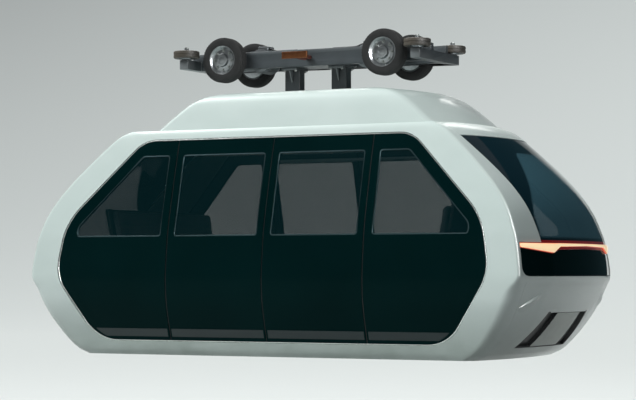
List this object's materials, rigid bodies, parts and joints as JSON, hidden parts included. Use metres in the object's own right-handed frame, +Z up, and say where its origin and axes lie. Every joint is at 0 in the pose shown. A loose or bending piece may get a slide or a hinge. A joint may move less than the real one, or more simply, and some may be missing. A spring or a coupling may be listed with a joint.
{
  "type": "suspended personal rapid transit pod",
  "caption": "Glazed cabin with rounded ends and facing benches, hung by posts from a rubber-tyred bogie with guide wheels that runs inside a slotted box beam.",
  "frame": {"origin": "middle of the four running wheels' contact patches, at the level of the rail inside the beam", "axes": "+X along the direction of travel, +Y left, +Z up"},
  "size_m": [4.7984, 1.95, 2.65],
  "materials": {
    "pearl_paint": "gloss",
    "underbody": "satin",
    "dark_panel": "gloss",
    "tinted_glass": "tinted",
    "front_lamp": "emissive",
    "rear_lamp": "emissive",
    "seat_fabric": "woven",
    "seat_shell": "satin",
    "frame_steel": "satin",
    "tyre": "matt",
    "motor_casting": "cast",
    "collector_shoe": "worn"
  },
  "bodies": {
    "pod": {"side_frame_left": "pearl_paint", "side_frame_right": "pearl_paint", "floor_pan": "underbody", "roof_panel": "pearl_paint", "roof_fairing": "pearl_paint", "bumper_front": "pearl_paint", "bumper_insert_front": "underbody", "lamp_panel_front": "dark_panel", "light_bar_front": "front_lamp", "screen_front": "tinted_glass", "bumper_rear": "pearl_paint", "bumper_insert_rear": "underbody", "lamp_panel_rear": "dark_panel", "light_bar_rear": "rear_lamp", "screen_rear": "tinted_glass", "side_panel_left_front": "dark_panel", "side_glass_left_front": "tinted_glass", "door_leaf_left_front": "dark_panel", "door_glass_left_front": "tinted_glass", "side_panel_left_rear": "dark_panel", "side_glass_left_rear": "tinted_glass", "door_leaf_left_rear": "dark_panel", "door_glass_left_rear": "tinted_glass", "side_panel_right_front": "dark_panel", "side_glass_right_front": "tinted_glass", "door_leaf_right_front": "dark_panel", "door_glass_right_front": "tinted_glass", "side_panel_right_rear": "dark_panel", "side_glass_right_rear": "tinted_glass", "door_leaf_right_rear": "dark_panel", "door_glass_right_rear": "tinted_glass", "seat_cushion_front": "seat_fabric", "seat_shell_front": "seat_shell", "seat_cushion_rear": "seat_fabric", "seat_shell_rear": "seat_shell", "bogie_frame": "frame_steel", "drive_unit_front": "motor_casting", "drive_unit_rear": "motor_casting", "hanger": "frame_steel", "collector_left": "collector_shoe", "collector_right": "collector_shoe"},
    "wheelset_front": {"wheelset_front": "motor_casting", "tyre_front_left": "tyre", "tyre_front_right": "tyre"},
    "wheelset_rear": {"wheelset_rear": "motor_casting", "tyre_rear_left": "tyre", "tyre_rear_right": "tyre"},
    "guide_wheel_front_left": {"guide_wheel_front_left": "tyre"},
    "guide_wheel_front_right": {"guide_wheel_front_right": "tyre"},
    "guide_wheel_rear_left": {"guide_wheel_rear_left": "tyre"},
    "guide_wheel_rear_right": {"guide_wheel_rear_right": "tyre"}
  },
  "joints": [
    {"name": "wheelset_front_spin", "type": "hinge", "parent": "pod", "child": "wheelset_front", "pos_m": [0.75, 0, 0.19], "axis": [0, 1, 0], "continuous": true},
    {"name": "wheelset_rear_spin", "type": "hinge", "parent": "pod", "child": "wheelset_rear", "pos_m": [-0.75, 0, 0.19], "axis": [0, 1, 0], "continuous": true},
    {"name": "guide_wheel_front_left_spin", "type": "hinge", "parent": "pod", "child": "guide_wheel_front_left", "pos_m": [1.08, 0.34, 0.245], "axis": [0, 0, 1], "continuous": true},
    {"name": "guide_wheel_front_right_spin", "type": "hinge", "parent": "pod", "child": "guide_wheel_front_right", "pos_m": [1.08, -0.34, 0.245], "axis": [0, 0, 1], "continuous": true},
    {"name": "guide_wheel_rear_left_spin", "type": "hinge", "parent": "pod", "child": "guide_wheel_rear_left", "pos_m": [-1.08, 0.34, 0.245], "axis": [0, 0, 1], "continuous": true},
    {"name": "guide_wheel_rear_right_spin", "type": "hinge", "parent": "pod", "child": "guide_wheel_rear_right", "pos_m": [-1.08, -0.34, 0.245], "axis": [0, 0, 1], "continuous": true}
  ]
}
